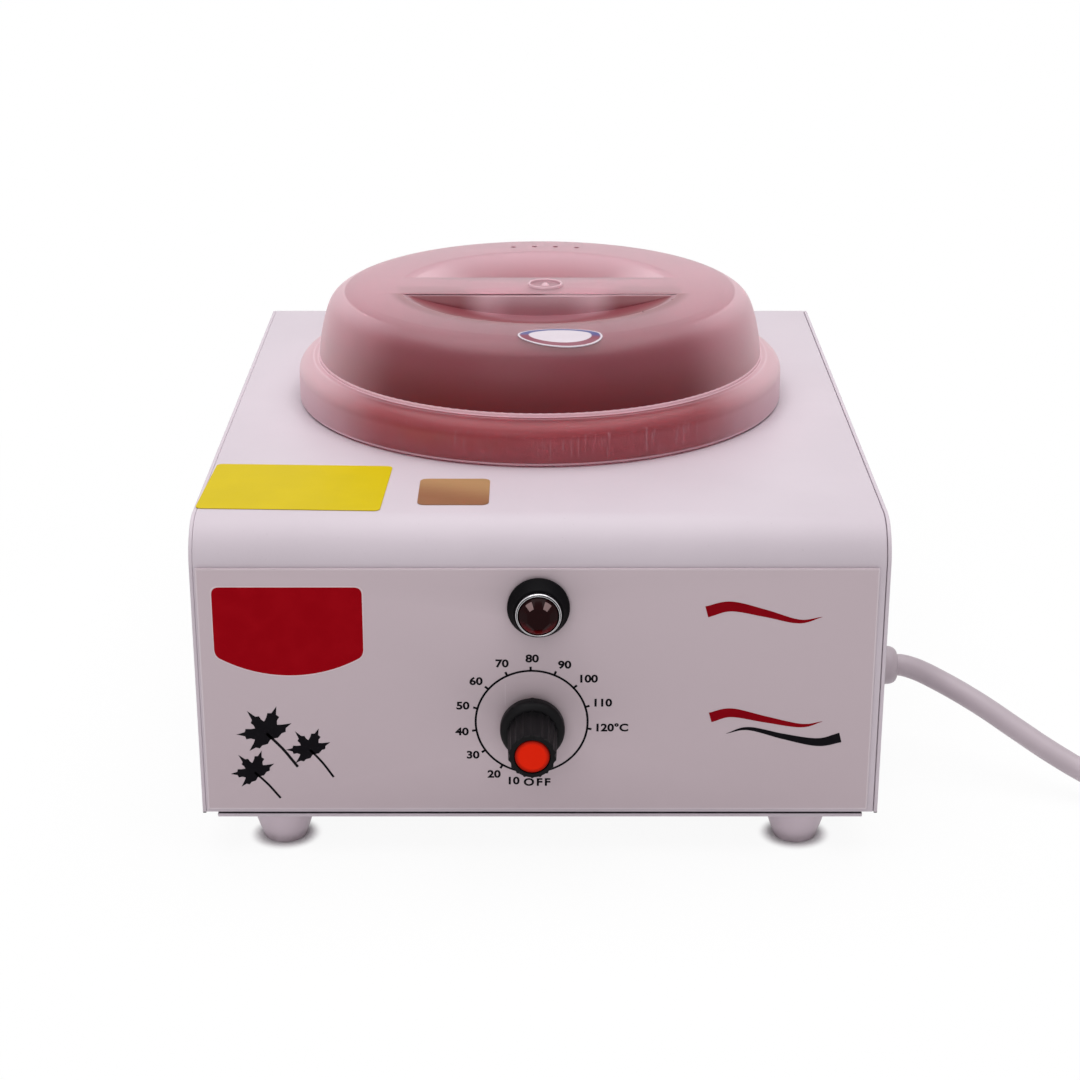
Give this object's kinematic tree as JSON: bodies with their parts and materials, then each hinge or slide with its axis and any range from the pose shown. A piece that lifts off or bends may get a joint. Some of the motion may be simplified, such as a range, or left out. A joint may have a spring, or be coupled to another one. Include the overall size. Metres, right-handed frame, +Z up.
{
  "type": "wax heater",
  "caption": "Table-top wax heater: sheet-metal box with a red lift-out pot, frosted domed lid, thermostat knob, jewelled lamp and mains lead with plug.",
  "frame": {"origin": "on the floor under the middle of the heater's box, knob and back screws included", "axes": "+X to the right as seen from the front, +Y to the back, +Z up"},
  "size_m": [0.4507, 0.2916, 0.1612],
  "materials": {
    "white_paint": "smooth white powder coat, a little pink",
    "overlay": "smooth light grey front sheet with printed scale",
    "white_plastic": "moulded white plastic",
    "white_pvc": "satin white PVC sheath",
    "red_enamel": "glossy red enamel on aluminium",
    "frosted_lid": "frosted translucent polypropylene",
    "black_plastic": "satin black plastic",
    "orange_plastic": "glossy orange-red plastic",
    "jewel": "clear red faceted plastic",
    "chrome": "polished chrome plate",
    "steel": "zinc-plated steel",
    "aluminium": "bare spun aluminium",
    "brass": "bare brass",
    "copper": "bare copper",
    "heater_band": "steel-sheathed mica band",
    "phenolic": "brown phenolic moulding",
    "glass_wool": "yellow glass wool",
    "block_plastic": "cream polyamide",
    "yellow_label": "yellow vinyl label",
    "gold_label": "gold foil label",
    "white_label": "white vinyl label",
    "brown_wire": "brown sleeve",
    "blue_wire": "blue sleeve",
    "green_wire": "green and yellow sleeve",
    "red_wire": "red heat-proof sleeve"
  },
  "bodies": {
    "root": {"housing_cover": "white_paint", "side_panel_left": "white_paint", "side_panel_right": "white_paint", "base_plate": "white_paint", "front_overlay": "overlay", "foot_front_left": "white_plastic", "foot_front_right": "white_plastic", "foot_rear_left": "white_plastic", "foot_rear_right": "white_plastic", "foot_screw_front_left": "steel", "foot_screw_front_right": "steel", "foot_screw_rear_left": "steel", "foot_screw_rear_right": "steel", "base_screw_front_left": "steel", "base_screw_front_right": "steel", "base_screw_rear_left": "steel", "base_screw_rear_right": "steel", "back_screw_left": "steel", "back_screw_right": "steel", "yellow_sticker": "yellow_label", "gold_sticker": "gold_label", "heater_well": "aluminium", "band_heater": "heater_band", "heater_clamp_screw": "steel", "insulation_blanket": "glass_wool", "thermostat_body": "phenolic", "thermostat_nut": "brass", "sensor_bulb": "copper", "bulb_clip": "steel", "lamp_body": "black_plastic", "lamp_collar": "black_plastic", "lamp_bezel": "chrome", "lamp_lens": "jewel", "lamp_nut": "steel", "terminal_block": "block_plastic", "earth_screw": "brass", "core_live": "brown_wire", "core_neutral": "blue_wire", "core_earth": "green_wire", "lead_thermostat": "red_wire", "lead_heater_left": "red_wire", "lead_heater_right": "red_wire", "lead_lamp_left": "blue_wire", "lead_lamp_right": "blue_wire", "cord_gland": "white_plastic", "gland_nut": "white_plastic", "power_cord": "white_pvc", "cord_coil": "white_pvc", "plug_body": "white_pvc", "plug_pin_live": "brass", "plug_pin_neutral": "brass", "plug_pin_earth": "brass"},
    "pot": {"wax_pot": "red_enamel"},
    "lid": {"lid": "frosted_lid", "lid_sticker": "white_label"},
    "knob": {"knob_body": "black_plastic", "knob_cap": "orange_plastic", "thermostat_shaft": "steel"}
  },
  "joints": [
    {"name": "knob_turn", "type": "hinge", "parent": "root", "child": "knob", "pos_m": [-0.0025, -0.1208, 0.0489], "axis": [0, 1, 0], "range_deg": [-186, 98]},
    {"name": "pot_lift", "type": "slide", "parent": "root", "child": "pot", "axis": [0, 0, 1], "range_m": [0, 0.11]},
    {"name": "lid_lift", "type": "slide", "parent": "pot", "child": "lid", "axis": [0, 0, 1], "range_m": [0, 0.06]}
  ]
}
